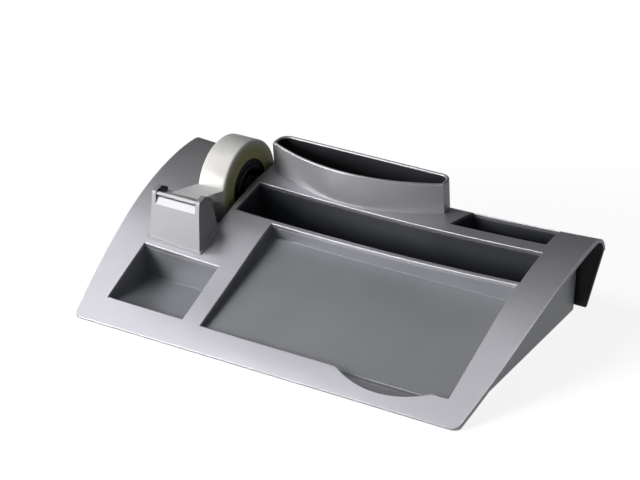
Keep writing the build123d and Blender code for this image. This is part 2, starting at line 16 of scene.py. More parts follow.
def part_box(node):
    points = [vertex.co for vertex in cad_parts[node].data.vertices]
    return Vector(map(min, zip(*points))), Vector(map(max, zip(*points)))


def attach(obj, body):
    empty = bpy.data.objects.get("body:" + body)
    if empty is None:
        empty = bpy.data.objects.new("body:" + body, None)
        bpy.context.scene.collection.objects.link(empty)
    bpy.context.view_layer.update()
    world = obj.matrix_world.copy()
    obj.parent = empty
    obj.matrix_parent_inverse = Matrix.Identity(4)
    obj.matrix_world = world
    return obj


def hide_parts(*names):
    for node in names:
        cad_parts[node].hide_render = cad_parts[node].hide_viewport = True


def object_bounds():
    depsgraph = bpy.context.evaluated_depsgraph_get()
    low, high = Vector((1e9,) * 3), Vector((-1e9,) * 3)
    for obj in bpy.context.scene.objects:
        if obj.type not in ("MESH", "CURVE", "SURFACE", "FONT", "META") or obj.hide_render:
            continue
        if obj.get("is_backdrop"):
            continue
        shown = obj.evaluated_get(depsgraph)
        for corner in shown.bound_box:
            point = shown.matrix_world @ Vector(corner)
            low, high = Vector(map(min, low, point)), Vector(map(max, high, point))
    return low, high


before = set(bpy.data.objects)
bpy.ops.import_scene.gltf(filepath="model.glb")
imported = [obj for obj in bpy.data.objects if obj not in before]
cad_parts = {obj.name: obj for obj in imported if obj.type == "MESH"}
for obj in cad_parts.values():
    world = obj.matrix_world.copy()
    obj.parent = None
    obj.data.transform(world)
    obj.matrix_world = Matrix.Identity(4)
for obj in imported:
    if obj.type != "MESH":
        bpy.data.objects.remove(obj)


def in_mm(*lengths):
    """Lengths in metres as rounded millimetres, for printing."""
    return ", ".join(f"{1000 * length:.2f}" for length in lengths) + " mm"


solid_low, solid_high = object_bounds()
print("size:", in_mm(*(solid_high - solid_low)))

# %% [markdown]
# ## The camera
# The picture was taken from the front right, about thirty degrees above the desk, with a long lens.
# A camera could be aimed with a Track To constraint, but its three axes are known here, so they are
# written straight into the rotation matrix. That keeps the slight roll of the horizon. The Standard
# view shows each colour as it is written, which makes finishes easy to judge.

# %% Place the camera
camera_right = Vector((0.843746, 0.5346426, -0.047434))
camera_up = Vector((-0.2270727, 0.4356317, 0.8710127))
camera_back = Vector((0.4863442, -0.7241425, 0.4889652))
camera_place = Vector((0.7190447, -1.0779642, 0.7731656))
picture_width = 640.0  # in pixels, as the next value is
focal_length = 2602.06

lens_camera = bpy.data.cameras.new("desk camera")
lens_camera.sensor_width = 36.0
lens_camera.lens = focal_length * lens_camera.sensor_width / picture_width
lens_camera.clip_start = 0.05
lens_camera.clip_end = 20.0
camera = bpy.data.objects.new("desk camera", lens_camera)
bpy.context.scene.collection.objects.link(camera)
camera_axes = Matrix((camera_right, camera_up, camera_back)).transposed().to_4x4()
camera.matrix_world = Matrix.Translation(camera_place) @ camera_axes
bpy.context.scene.camera = camera
bpy.context.scene.view_settings.view_transform = "Standard"
print("lens:", round(lens_camera.lens, 1), "mm")

# %% [markdown]
# ## Nodes in short
# Every finish, the desk and the room are node trees. A tree could be clicked together in the
# editor, but in a script the same few steps come again and again: add a node, write a number on
# one input, link a source to another. One small class holds these steps. It takes a plain value
# or a source alike, so each finish further down reads like a recipe.


# %% A helper class for node trees
class Wiring:
    """Short ways to put nodes into one node tree."""

    def __init__(self, tree):
        self.nodes = tree.nodes
        self.links = tree.links

    def put(self, value, socket):
        """Links a source to a socket, or writes a plain value there."""
        if isinstance(value, bpy.types.NodeSocket):
            self.links.new(value, socket)
        else:
            socket.default_value = value

    def fill(self, inputs, values):
        """Fills in inputs by name; underscores stand for spaces."""
        for label, value in values.items():
            self.put(value, inputs[label.replace("_", " ")])

    def node(self, kind, **values):
        """A node of one kind with named inputs filled in."""
        made = self.nodes.new(kind)
        self.fill(made.inputs, values)
        return made

    def join(self, first, second, operation="ADD"):
        """One number worked out from two."""
        made = self.nodes.new("ShaderNodeMath")
        made.operation = operation
        self.put(first, made.inputs[0])
        self.put(second, made.inputs[1])
        return made.outputs[0]

    def all_of(self, *masks):
        """One where every mask is one."""
        product = masks[0]
        for mask in masks[1:]:
            product = self.join(product, mask, "MULTIPLY")
        return product

    def span(self, source, low, high, from_low=0.3, from_high=0.7, blend="LINEAR"):
        """Stretches a mask from one range of values to another, and stops at its ends."""
        made = self.node(
            "ShaderNodeMapRange",
            Value=source,
            From_Min=from_low,
            From_Max=from_high,
            To_Min=low,
            To_Max=high,
        )
        made.interpolation_type = blend
        return made.outputs["Result"]

    def mask(self, source, start, full):
        """Nought up to the start value, and one from the full value on."""
        return self.span(source, 0.0, 1.0, start, full)

    def vector(self, operation, first, second=None, result="Vector"):
        """A vector or a number worked out from one or two vectors."""
        made = self.nodes.new("ShaderNodeVectorMath")
        made.operation = operation
        self.put(first, made.inputs[0])
        if second is not None:
            self.put(second, made.inputs[1])
        return made.outputs[result]

    def parts(self, source):
        """The X, Y and Z of a vector."""
        return self.node("ShaderNodeSeparateXYZ", Vector=source).outputs

    def spot(self):
        """Object coordinates, which stay still on the piece when it moves."""
        return self.node("ShaderNodeTexCoord").outputs["Object"]

    def reach(self, centre, across):
        """The distance from a line through a centre; `across` is nought along the line."""
        away = self.vector("SUBTRACT", self.spot(), centre)
        flat = self.vector("MULTIPLY", away, across)
        return self.vector("LENGTH", flat, result="Value")

    def noise(self, place, scale, detail):
        """A soft random mask."""
        made = self.node("ShaderNodeTexNoise", Vector=place, Scale=scale, Detail=detail)
        return made.outputs["Fac"]


# %% [markdown]
# ## The desk
# A product like this is shown on white. A white sheet in strong light would do that, but it would
# also throw light back up and wash out the dark sides. So the desk is a grey sheet that takes a
# soft shadow, with a glow added that only camera, mirror and see-through rays find. Seen directly
# the two add up to white, and the glow lights nothing.


# %% Helpers for new pieces and for rays
def made_piece(work, name, *materials):
    """Turns a bmesh into a linked object with its materials."""
    mesh = bpy.data.meshes.new(name)
    work.to_mesh(mesh)
    work.free()
    for material in materials:
        mesh.materials.append(material)
    piece = bpy.data.objects.new(name, mesh)
    bpy.context.scene.collection.objects.link(piece)
    return piece


def seen_rays(wiring, mirror_share):
    """One for rays from the camera or through clear plastic, less for mirrors, else nought."""
    path = wiring.node("ShaderNodeLightPath").outputs
    mirrored = wiring.join(path["Is Glossy Ray"], mirror_share, "MULTIPLY")
    seen = wiring.join(path["Is Camera Ray"], mirrored, "MAXIMUM")
    return wiring.join(seen, path["Is Transmission Ray"], "MAXIMUM")


# %% Make the desk
desk_half = 6.0
desk_mirror_share = 0.35
desk_glow_level = 0.87

desk_finish = bpy.data.materials.new("white desk")
desk_finish.use_nodes = True
desk_finish.node_tree.nodes.clear()
desk_wiring = Wiring(desk_finish.node_tree)
desk_grey = desk_wiring.node("ShaderNodeBsdfDiffuse", Color=(0.42, 0.42, 0.42, 1))
desk_seen = seen_rays(desk_wiring, desk_mirror_share)
desk_glow = desk_wiring.node(
    "ShaderNodeEmission",
    Color=(1, 1, 1, 1),
    Strength=desk_wiring.join(desk_seen, desk_glow_level, "MULTIPLY"),
)
desk_sum = desk_wiring.node("ShaderNodeAddShader")
desk_wiring.put(desk_grey.outputs[0], desk_sum.inputs[0])
desk_wiring.put(desk_glow.outputs[0], desk_sum.inputs[1])
desk_wiring.node("ShaderNodeOutputMaterial", Surface=desk_sum.outputs[0])

sheet = bmesh.new()
bmesh.ops.create_grid(sheet, x_segments=1, y_segments=1, size=desk_half)
desk = made_piece(sheet, "desk", desk_finish)
desk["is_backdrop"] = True
print("desk:", in_mm(*desk.dimensions[:2]))

# %% [markdown]
# ## The room
# The air round the organizer is a little light too, or its dark sides would be black. Plain rays
# find a weak bluish fill. The camera finds white. Mirrors and clear plastic find a grey that is
# stronger towards the front than towards the back, as a room with one pale wall gives. An image
# of a real room could do the same, but a ramp on the direction has no edges to show in the paint.

# %% Fill the room with plain light
room_fill_level = 0.07
room_back_level, room_front_level = 0.09, 0.42
room_back, room_front = 0.60, -0.35  # the ramp's ends, as the Y of a ray's direction

room = bpy.data.worlds.new("studio")
bpy.context.scene.world = room
room.use_nodes = True
room.node_tree.nodes.clear()
room_wiring = Wiring(room.node_tree)
room_way = room_wiring.node("ShaderNodeTexCoord").outputs["Generated"]
room_ramp = room_wiring.span(
    room_wiring.parts(room_way)["Y"],
    room_back_level,
    room_front_level,
    from_low=room_back,
    from_high=room_front,
    blend="SMOOTHSTEP",
)
camera_rays = room_wiring.node("ShaderNodeLightPath").outputs["Is Camera Ray"]
room_white = room_wiring.node(
    "ShaderNodeBackground",
    Color=(1, 1, 1, 1),
    Strength=room_wiring.join(room_ramp, camera_rays, "MAXIMUM"),
)
room_fill = room_wiring.node(
    "ShaderNodeBackground", Color=(0.78, 0.90, 1.0, 1), Strength=room_fill_level
)
room_mix = room_wiring.node("ShaderNodeMixShader", Fac=seen_rays(room_wiring, 1.0))
room_wiring.put(room_fill.outputs[0], room_mix.inputs[1])
room_wiring.put(room_white.outputs[0], room_mix.inputs[2])
room_wiring.node("ShaderNodeOutputWorld", Surface=room_mix.outputs[0])
print("room fill:", room_fill_level)

# %% [markdown]
# ## The lamps
# The main light is a large soft panel at the front left, so faces that lean forward are bright,
# the flat deck behind them falls off to slate, and faces that look right stay dark. A second
# panel, high on the left, gives the satin paint its sheen. Point lamps would be simpler, but
# their small hard highlights are the opposite of satin.


# %% Hang the soft panels
def soft_panel(name, place, aim, width, height, power, tint):
    """A rectangular lamp at one place, turned to face another."""
    lamp = bpy.data.lights.new(name, "AREA")
    lamp.shape = "RECTANGLE"
    lamp.size = width
    lamp.size_y = height
    lamp.energy = power
    lamp.color = tint
    holder = bpy.data.objects.new(name, lamp)
    bpy.context.scene.collection.objects.link(holder)
    holder.location = place
    holder.rotation_euler = (Vector(aim) - Vector(place)).to_track_quat("-Z", "Y").to_euler()
    print(name, "at", place, "power", power)


soft_panel(
    "front panel",
    place=(-0.80, -0.92, 0.38),
    aim=(0.0, 0.0, 0.02),
    width=0.6,
    height=0.5,
    power=14.5,
    tint=(1.0, 0.985, 0.98),
)
soft_panel(
    "top panel",
    place=(-0.70, -0.22, 1.15),
    aim=(0.0, 0.0, 0.0),
    width=0.7,
    height=0.6,
    power=4.1,
    tint=(0.98, 0.98, 1.0),
)

# %% [markdown]
# ## Effects that several finishes share
# Grain, worn edges with a painted highlight, dust, wound layers and brushed lines turn up on more
# than one finish. They could be built again in each material, but a shader node group with named
# inputs is built once and placed wherever it is needed, with its own numbers. All of them read
# Object coordinates.


# %% A helper class for shader groups
class Effect(Wiring):
    """A shader node group with named number inputs and named results."""

    def __init__(self, name, inputs, results):
        self.tree = bpy.data.node_groups.new(name, "ShaderNodeTree")
        super().__init__(self.tree)
        for label, value in inputs:
            entry = self.tree.interface.new_socket(
                label, in_out="INPUT", socket_type="NodeSocketFloat"
            )
            entry.default_value = value
        for label in results:
            kind = "NodeSocketVector" if label == "Normal" else "NodeSocketFloat"
            self.tree.interface.new_socket(label, in_out="OUTPUT", socket_type=kind)
        self.given = self.nodes.new("NodeGroupInput").outputs
        self.leave = self.nodes.new("NodeGroupOutput").inputs

    def give(self, **results):
        """Links the results to the way out of the group."""
        for label, source in results.items():
            self.links.new(source, self.leave[label])
        print("group:", self.tree.name, "->", ", ".join(results))


# %% [markdown]
# ### Grain
# Moulded and sprayed plastic is never one even tone. A fine speckle stands for paint flakes and
# pores, and slow clouds for paint that lies a little thicker here and there. Both are noise, at
# two scales.

# %% Grain: fine speckle and slow clouds
fine_grain = Effect(
    "fine grain", [("Speckle Scale", 2500.0), ("Cloud Scale", 25.0)], ["Speckle", "Cloud"]
)
fine_grain.give(
    Speckle=fine_grain.noise(fine_grain.spot(), fine_grain.given["Speckle Scale"], detail=2.0),
    Cloud=fine_grain.noise(fine_grain.spot(), fine_grain.given["Cloud Scale"], detail=4.0),
)

# %% [markdown]
# ### Worn and highlighted edges
# Hands polish the edges of a moulded part, and rounded edges catch the light. Bevelling each edge
# would show that as geometry, but the solids stay as they are, so the Bevel node rounds the normal
# instead. Where the rounded and the flat normal part, there is an edge. The mask is broken up by
# noise and kept to edges that face up. The finishes paint a paler tone there, which stands partly
# for wear and partly for a painted highlight.

# %% Worn edges and painted highlights: a mask along the edges and a rounded normal
soft_edges = Effect("soft edges", [("Width", 0.0005), ("Chip Scale", 900.0)], ["Edge", "Normal"])
edge_round = soft_edges.node("ShaderNodeBevel", Radius=soft_edges.given["Width"])
edge_round.samples = 6
edge_normal = edge_round.outputs["Normal"]
edge_flat = soft_edges.node("ShaderNodeNewGeometry").outputs["Normal"]
edge_turn = soft_edges.vector("DOT_PRODUCT", edge_normal, edge_flat, result="Value")
edge_chip = soft_edges.noise(soft_edges.spot(), soft_edges.given["Chip Scale"], detail=3.0)
# Up-facing edges, where the finishes paint a paler tone for wear and a painted highlight.
edge_wear_and_highlight = soft_edges.all_of(
    soft_edges.mask(edge_turn, start=0.995, full=0.80),
    soft_edges.span(edge_chip, 0.75, 1.0, from_low=0.30, from_high=0.60),
    soft_edges.mask(soft_edges.parts(edge_normal)["Z"], start=0.05, full=0.45),
)
soft_edges.give(Edge=edge_wear_and_highlight, Normal=edge_normal)

# %% [markdown]
# ### Dust
# Dust settles on whatever faces up. A layer of small specks could be scattered over it, but at
# this distance a thin patchy film in the colour is enough.

# %% Dust: a thin patchy film
settled_dust = Effect("settled dust", [("Amount", 0.1), ("Patch Scale", 60.0)], ["Dust"])
dust_face = settled_dust.parts(settled_dust.node("ShaderNodeNewGeometry").outputs["Normal"])
dust_film = settled_dust.all_of(
    settled_dust.mask(dust_face["Z"], start=0.4, full=1.0),
    settled_dust.noise(settled_dust.spot(), settled_dust.given["Patch Scale"], detail=6.0),
    settled_dust.given["Amount"],
)
settled_dust.give(Dust=dust_film)

# %% [markdown]
# ### Wound layers
# The side of a roll of tape shows hundreds of thin rings. Rings could be cut into the mesh, but
# they are finer than a pixel. So the distance from the axle is counted in layers, and noise in
# one dimension gives each layer its tone, and a slower noise gives broad bands.

# %% Wound layers: rings round the axle of the tape
wound_layers = Effect(
    "wound layers",
    [("Axle Y", 0.0), ("Axle Z", 0.0), ("Layers Per Metre", 4000.0)],
    ["Layer", "Band", "Reach"],
)
wound_axle = wound_layers.node(
    "ShaderNodeCombineXYZ", Y=wound_layers.given["Axle Y"], Z=wound_layers.given["Axle Z"]
)
wound_reach = wound_layers.reach(wound_axle.outputs[0], (0.0, 1.0, 1.0))
wound_count = wound_layers.join(wound_reach, wound_layers.given["Layers Per Metre"], "MULTIPLY")


def ring_noise(scale):
    """Noise that changes with the layer count alone."""
    made = wound_layers.nodes.new("ShaderNodeTexNoise")
    made.noise_dimensions = "1D"
    made.inputs["Scale"].default_value = scale
    wound_layers.put(wound_count, made.inputs["W"])
    return made.outputs["Fac"]


wound_layers.give(
    Layer=ring_noise(scale=1.0), Band=ring_noise(scale=0.12), Reach=wound_reach
)

# %% [markdown]
# ### Brushed lines
# Rolled steel and drawn film have fine lines in one direction. Noise gives them when its place is
# stretched: many steps across the lines and few along them.

# %% Brushed lines: noise pulled out along X
brushed_lines = Effect("brushed lines", [("Across", 6000.0), ("Along", 120.0)], ["Line"])
brush_scale = brushed_lines.node(
    "ShaderNodeCombineXYZ",
    X=brushed_lines.given["Along"],
    Y=brushed_lines.given["Across"],
    Z=brushed_lines.given["Across"],
)
brush_place = brushed_lines.vector("MULTIPLY", brushed_lines.spot(), brush_scale.outputs[0])
brushed_lines.give(Line=brushed_lines.noise(brush_place, 1.0, detail=3.0))

# %% [markdown]
# ## The finishes
# Each finish is one Principled shader. The plain numbers sit on its own sockets, and the groups
# feed the colour, the roughness and the bump. A second class adds the steps that only a finish
# needs: it places a group, mixes two colours by a mask, and raises the surface by a height.


# %% A helper class for one finish
class Finish(Wiring):
    """One Principled finish on a material of its own."""

    def __init__(self, name, roughness, metal=0.0):
        self.material = bpy.data.materials.new(name)
        self.material.use_nodes = True
        super().__init__(self.material.node_tree)
        self.shader = self.nodes["Principled BSDF"]
        self.feed(Roughness=roughness, Metallic=metal)

    def feed(self, **values):
        """Fills in named inputs of the shader."""
        self.fill(self.shader.inputs, values)

    def group(self, effect, **values):
        """Places a group with its own numbers."""
        made = self.nodes.new("ShaderNodeGroup")
        made.node_tree = effect.tree
        self.fill(made.inputs, values)
        return made.outputs

    def blend(self, mask, under, over):
        """Colour `under` where the mask is nought, and `over` where it is one."""
        made = self.nodes.new("ShaderNodeMix")
        made.data_type = "RGBA"
        # In a mix of colours they go in at 6 and 7, and the result comes out at 2.
        self.put(mask, made.inputs["Factor"])
        for value, socket in ((under, made.inputs[6]), (over, made.inputs[7])):
            self.put((*value, 1.0) if isinstance(value, tuple) else value, socket)
        return made.outputs[2]

    def tones(self, mask, deep, pale):
        """Two tones, mixed by the middle range of a noise mask."""
        return self.blend(self.mask(mask, start=0.3, full=0.7), deep, pale)

    def bump(self, height, distance, normal=None):
        """Raises the surface by a height mask."""
        made = self.node("ShaderNodeBump", Height=height, Distance=distance)
        if normal is not None:
            self.put(normal, made.inputs["Normal"])
        self.feed(Normal=made.outputs["Normal"])


# %% [markdown]
# ### Satin silver paint
# The moulded body is sprayed with a silver paint whose tiny flakes catch the light. Flakes could
# be modelled as thousands of points, but at this distance a very fine speckle in the colour and
# the roughness reads the same. Edges are paler, partly where hands have polished them and partly
# as a painted highlight.


# %% A recipe for silver paint
flake_gain = 1.25  # a flake is this much brighter than the paint round it
paint_dust_tint = (0.60, 0.60, 0.62)


def silver_paint(name, pale, deep, edge, metal, rough_low, rough_high, dust, edge_width):
    """Metallic paint over moulded plastic, with flakes, soft clouds, dust and edges made paler by
    wear and a painted highlight.
    """
    paint = Finish(name, rough_high, metal)
    grain = paint.group(fine_grain, Speckle_Scale=4200.0, Cloud_Scale=14.0)
    edges = paint.group(soft_edges, Width=edge_width, Chip_Scale=700.0)
    film = paint.group(settled_dust, Amount=dust, Patch_Scale=45.0)
    flake_tint = tuple(min(1.0, flake_gain * c) for c in pale)
    flake_mask = paint.span(grain["Speckle"], 0.0, 0.30, from_low=0.52, from_high=0.72)
    flakes = paint.blend(flake_mask, paint.tones(grain["Cloud"], deep, pale), flake_tint)
    # The edge colour is a pale tone for wear and a painted highlight along the edges.
    bright = paint.blend(edges["Edge"], flakes, edge)
    # The colour and the metal are kept, so that a later cell can mask them.
    paint.colour = paint.blend(film["Dust"], bright, paint_dust_tint)
    paint.metal = metal
    clouded = paint.span(grain["Cloud"], rough_low, rough_high)
    speckled = paint.span(grain["Speckle"], -0.03, 0.03)
    paint.feed(Base_Color=paint.colour, Roughness=paint.join(clouded, speckled))
    paint.bump(grain["Speckle"], 0.00002, edges["Normal"])
    print("paint:", name)
    return paint


# %% [markdown]
# ### Six coats from one recipe
# The same spray gives different coats. On the shell and the cup it lies smooth and bright, and on
# the end panels and the tower it is blunter. The end panels are also paler, as painted light, since
# they face away from the lamps. The trays are darker, as painted shade, and the deep pockets are
# near black, as painted shade. One material with masks could hold them all, but separate coats can
# be judged and changed one at a time.

# %% Paint for the shell and the cup
shell_paint = silver_paint(
    "satin silver shell",
    pale=(0.49, 0.484, 0.515),
    deep=(0.45, 0.45, 0.483),
    edge=(0.72, 0.71, 0.74),
    metal=0.72,
    rough_low=0.33,
    rough_high=0.40,
    dust=0.05,
    edge_width=0.0007,
)
cup_paint = silver_paint(
    "satin silver cup",
    pale=(0.50, 0.49, 0.515),
    deep=(0.46, 0.455, 0.48),
    edge=(0.60, 0.59, 0.62),
    metal=0.45,
    rough_low=0.33,
    rough_high=0.40,
    dust=0.04,
    edge_width=0.0004,
)

# %% Paint for the end panels and the tower
# Paler than the shell, as painted light on the end panels, which face away from the lamps.
lit_panel_paint = silver_paint(
    "satin silver panels with painted light",
    pale=(0.72, 0.725, 0.75),
    deep=(0.68, 0.685, 0.71),
    edge=(0.82, 0.82, 0.84),
    metal=0.50,
    rough_low=0.40,
    rough_high=0.48,
    dust=0.04,
    edge_width=0.0005,
)
tower_paint = silver_paint(
    "satin silver tower",
    pale=(0.42, 0.415, 0.43),
    deep=(0.39, 0.385, 0.405),
    edge=(0.68, 0.68, 0.70),
    metal=0.60,
    rough_low=0.52,
    rough_high=0.60,
    dust=0.03,
    edge_width=0.0004,
)

# %% Paint for the trays and the deep pockets
# Darker than the shell, as painted shade in the trays.
shaded_tray_paint = silver_paint(
    "silver trays with painted shade",
    pale=(0.31, 0.32, 0.34),
    deep=(0.27, 0.28, 0.30),
    edge=(0.44, 0.445, 0.46),
    metal=0.6,
    rough_low=0.42,
    rough_high=0.52,
    dust=0.12,
    edge_width=0.0003,
)
# Near black, as painted shade in the deep pockets.
pocket_shade_paint = silver_paint(
    "painted shade in deep pockets",
    pale=(0.085, 0.09, 0.105),
    deep=(0.06, 0.064, 0.075),
    edge=(0.26, 0.265, 0.28),
    metal=0.5,
    rough_low=0.46,
    rough_high=0.58,
    dust=0.10,
    edge_width=0.0003,
)

# %% [markdown]
# ### The highlighted outline
# Along the bowed sides the edge of the sheet catches the light, so a thin pale line is painted there
# as a painted highlight. It could be a strip of its own, but it has no thickness. The outline is a
# long flat arc, and a parabola through its front, middle and rear half widths hardly parts from it,
# so the way in is one short formula.

# %% Paint a highlight along the outline
outline_front, outline_middle, outline_rear = 0.128, 0.1379, 0.1374  # half widths
middle_at, rear_at = 0.0785, 0.1605  # how far behind the front edge the last two are
highlight_start, highlight_end = 0.0003, 0.0008  # the line fades between these, in from the outline
highlight_metal = 0.3  # this share of the paint's metal is left under the painted highlight line
highlight_full = 0.9  # at the outline itself the pale tone covers this share

middle_slope = (outline_middle - outline_front) / middle_at
rear_slope = (outline_rear - outline_front) / rear_at
outline_bend = (rear_slope - middle_slope) / (rear_at - middle_at)
outline_slope = middle_slope - outline_bend * middle_at

shell_place = shell_paint.parts(shell_paint.spot())
behind_front = shell_paint.join(shell_place["Y"], -solid_low.y)
outline_curve = shell_paint.join(
    shell_paint.join(behind_front, outline_bend, "MULTIPLY"), outline_slope
)
outline_x = shell_paint.join(
    shell_paint.join(outline_curve, behind_front, "MULTIPLY"), outline_front
)
side_x = shell_paint.join(shell_place["X"], 0.0, "ABSOLUTE")
way_in = shell_paint.join(outline_x, side_x, "SUBTRACT")
# A thin pale line along the outline, painted as a highlight on the edge of the sheet.
highlight = shell_paint.span(way_in, highlight_full, 0.0, from_low=highlight_start, from_high=highlight_end)
shell_paint.colour = shell_paint.blend(highlight, shell_paint.colour, (0.90, 0.90, 0.93))
shell_paint.metal = shell_paint.span(
    highlight, shell_paint.metal, highlight_metal * shell_paint.metal, from_low=0.0, from_high=highlight_full
)
print("rubbed line: up to", in_mm(highlight_end), "in from the outline")

# %% [markdown]
# ### Painted shade in hollows
# Some places that lie in shade are painted dark, as painted shade: the underside of the sheet, the
# inside of the back wall and the inside of the pen cup, and a dark line under the overhanging blade
# as its painted shadow. Faces could be given a second material, but each of these places is part of
# a larger solid whose mesh stays as it is. So the place on the solid decides. Short helpers give a
# mask that rises or falls at a bound, and swap the paint for a dark painted shade.

# %% Helpers for painted shade
# The dark tones of the painted shade, mixed by slow noise.
painted_shade_deep = (0.026, 0.027, 0.030)
painted_shade_pale = (0.040, 0.041, 0.045)
sharp_blend = 0.0001


def rising(paint, source, bound, soft=sharp_blend):
    """Nought before a bound and one after it, with a short blend."""
    return paint.mask(source, start=bound - soft, full=bound)


def falling(paint, source, bound, soft=sharp_blend):
    """One before a bound and nought after it, with a short blend."""
    return paint.mask(source, start=bound + soft, full=bound)


def paint_shade(paint, mask):
    """Swaps the paint for a dark painted shade where the mask is one."""
    grain = paint.group(fine_grain, Speckle_Scale=1500.0, Cloud_Scale=30.0)
    shaded = paint.tones(grain["Cloud"], painted_shade_deep, painted_shade_pale)
    covered = paint.join(1.0, mask, "SUBTRACT")
    paint.feed(
        Base_Color=paint.blend(mask, paint.colour, shaded),
        Metallic=paint.join(covered, paint.metal, "MULTIPLY"),
    )


# %% Painted shade under the sheet and inside the back wall
back_wall_front = 0.0655
shade_top = 0.0385  # painted shade covers the inside of the back wall up to here

shell_facing = shell_paint.parts(
    shell_paint.node("ShaderNodeNewGeometry").outputs["True Normal"]
)
looks_down = shell_paint.mask(shell_facing["Z"], start=-0.02, full=-0.12)
back_wall_inside = shell_paint.all_of(
    shell_paint.mask(shell_facing["Y"], start=-0.35, full=-0.55),
    rising(shell_paint, shell_place["Y"], back_wall_front),
    falling(shell_paint, shell_place["Z"], shade_top),
)
# Painted shade on faces that look down and on the lower inside of the back wall.
paint_shade(shell_paint, shell_paint.join(looks_down, back_wall_inside, "MAXIMUM"))
print("bare: faces that look down, and the inside of the back wall below", in_mm(shade_top))

# %% Painted shade inside the cup
cup_bow = 0.0144  # the middle of the cup's front stands this far before its ends
cup_rim_wide = 0.0011
cup_rim_high = 0.0010

cup_low, cup_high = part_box("pen_cup")
cup_half = (cup_high.x - cup_low.x) / 2
cup_radius = (cup_half * cup_half + cup_bow * cup_bow) / (2 * cup_bow)
cup_centre = (cup_low.x + cup_half, cup_low.y + cup_radius, 0.0)
cup_place = cup_paint.parts(cup_paint.spot())
cup_reach = cup_paint.reach(cup_centre, (1.0, 1.0, 0.0))
cup_inside_shade = cup_paint.all_of(
    falling(cup_paint, cup_reach, cup_radius - cup_rim_wide),
    rising(cup_paint, cup_place["X"], cup_low.x + cup_rim_wide),
    falling(cup_paint, cup_place["X"], cup_high.x - cup_rim_wide),
    falling(cup_paint, cup_place["Z"], cup_high.z - cup_rim_high),
)
# The inside of the cup is painted dark, as painted shade.
paint_shade(cup_paint, cup_inside_shade)
print("bare: the inside of the cup, whose front has a radius of", in_mm(cup_radius))

# %% Painted shadow under the blade
seat_drop = 0.0036  # the painted shadow starts this much below the top of the blade
seat_soft = 0.0003

blade_low, blade_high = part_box("cutter_blade")
seat_place = tower_paint.parts(tower_paint.spot())
seat_foot = blade_high.z - seat_drop
seat_shadow = tower_paint.all_of(
    rising(tower_paint, seat_place["X"], blade_low.x - seat_soft),
    falling(tower_paint, seat_place["X"], blade_high.x + seat_soft),
    rising(tower_paint, seat_place["Z"], seat_foot, seat_soft),
)
# A dark band under the overhanging blade, painted as its shadow.
paint_shade(tower_paint, seat_shadow)
print("bare: the seat under the blade, above", in_mm(seat_foot))

# %% [markdown]
# ### Moulded dark plastic
# The drawer, its runners and the base plate are dark plastic with a spark-eroded texture, a fine
# pebble that the mould leaves. Noise could roughen it, but pebbles have round tops, so a cell
# texture gives their height. The edges are paler, partly rubbed and partly a painted highlight.

# %% A recipe for dark plastic
edge_wear_highlight_gain = 2.2  # a worn edge is this much paler than the plastic, partly as a painted highlight
edge_wear_highlight_share = 0.6
plastic_dust_tint = (0.42, 0.41, 0.39)


def dark_plastic(name, pale, deep, rough, pebble_scale, pebble_depth, dust):
    """Dark moulded plastic with a pebbled skin."""
    plastic = Finish(name, rough)
    grain = plastic.group(fine_grain, Speckle_Scale=1800.0, Cloud_Scale=30.0)
    edges = plastic.group(soft_edges, Width=0.0005, Chip_Scale=900.0)
    film = plastic.group(settled_dust, Amount=dust, Patch_Scale=70.0)
    pebbles = plastic.node("ShaderNodeTexVoronoi", Vector=plastic.spot(), Scale=pebble_scale)
    clouds = plastic.tones(grain["Cloud"], deep, pale)
    edge_wear_highlight_tint = tuple(min(1.0, edge_wear_highlight_gain * c) for c in pale)
    edge_wear_highlight = plastic.join(edges["Edge"], edge_wear_highlight_share, "MULTIPLY")
    worn = plastic.blend(edge_wear_highlight, clouds, edge_wear_highlight_tint)
    plastic.feed(
        Base_Color=plastic.blend(film["Dust"], worn, plastic_dust_tint),
        Roughness=plastic.span(grain["Speckle"], rough - 0.06, rough + 0.06),
    )
    plastic.bump(pebbles.outputs["Distance"], pebble_depth, edges["Normal"])
    print("dark plastic:", name)
    return plastic


# %% Mix the dark plastics
charcoal = dark_plastic(
    "charcoal plastic",
    pale=(0.050, 0.052, 0.058),
    deep=(0.034, 0.036, 0.040),
    rough=0.52,
    pebble_scale=1300.0,
    pebble_depth=0.00005,
    dust=0.10,
)
black_gloss = dark_plastic(
    "black hub plastic",
    pale=(0.016, 0.016, 0.018),
    deep=(0.010, 0.010, 0.012),
    rough=0.30,
    pebble_scale=2400.0,
    pebble_depth=0.00001,
    dust=0.03,
)
foot_rubber = dark_plastic(
    "foot rubber",
    pale=(0.030, 0.030, 0.030),
    deep=(0.018, 0.018, 0.018),
    rough=0.78,
    pebble_scale=2000.0,
    pebble_depth=0.00004,
    dust=0.06,
)

# %% [markdown]
# ### Steel and iron
# The cutter and the screws are bright rolled steel, drawn along their length. Along its teeth the
# blade is ground, which scatters the light and reads as a bright bar, so that part is less of a
# mirror. The weight under the tape is a plain iron plate that stays out of sight, with a rough
# scale and a few rust spots.

# %% Mix the metals
blade_steel = Finish("rolled steel", 0.25, 1.0)
steel_lines = blade_steel.group(brushed_lines, Across=5000.0, Along=150.0)
steel_edges = blade_steel.group(soft_edges, Width=0.0002, Chip_Scale=1500.0)
steel_tones = blade_steel.tones(steel_lines["Line"], (0.62, 0.63, 0.65), (0.82, 0.83, 0.84))
# Up-facing edges get a paler tone, partly wear and partly a painted highlight.
blade_steel.feed(
    Base_Color=blade_steel.blend(steel_edges["Edge"], steel_tones, (0.92, 0.92, 0.93)),
    Roughness=blade_steel.span(steel_lines["Line"], 0.16, 0.34),
)
blade_steel.bump(steel_lines["Line"], 0.000008, steel_edges["Normal"])

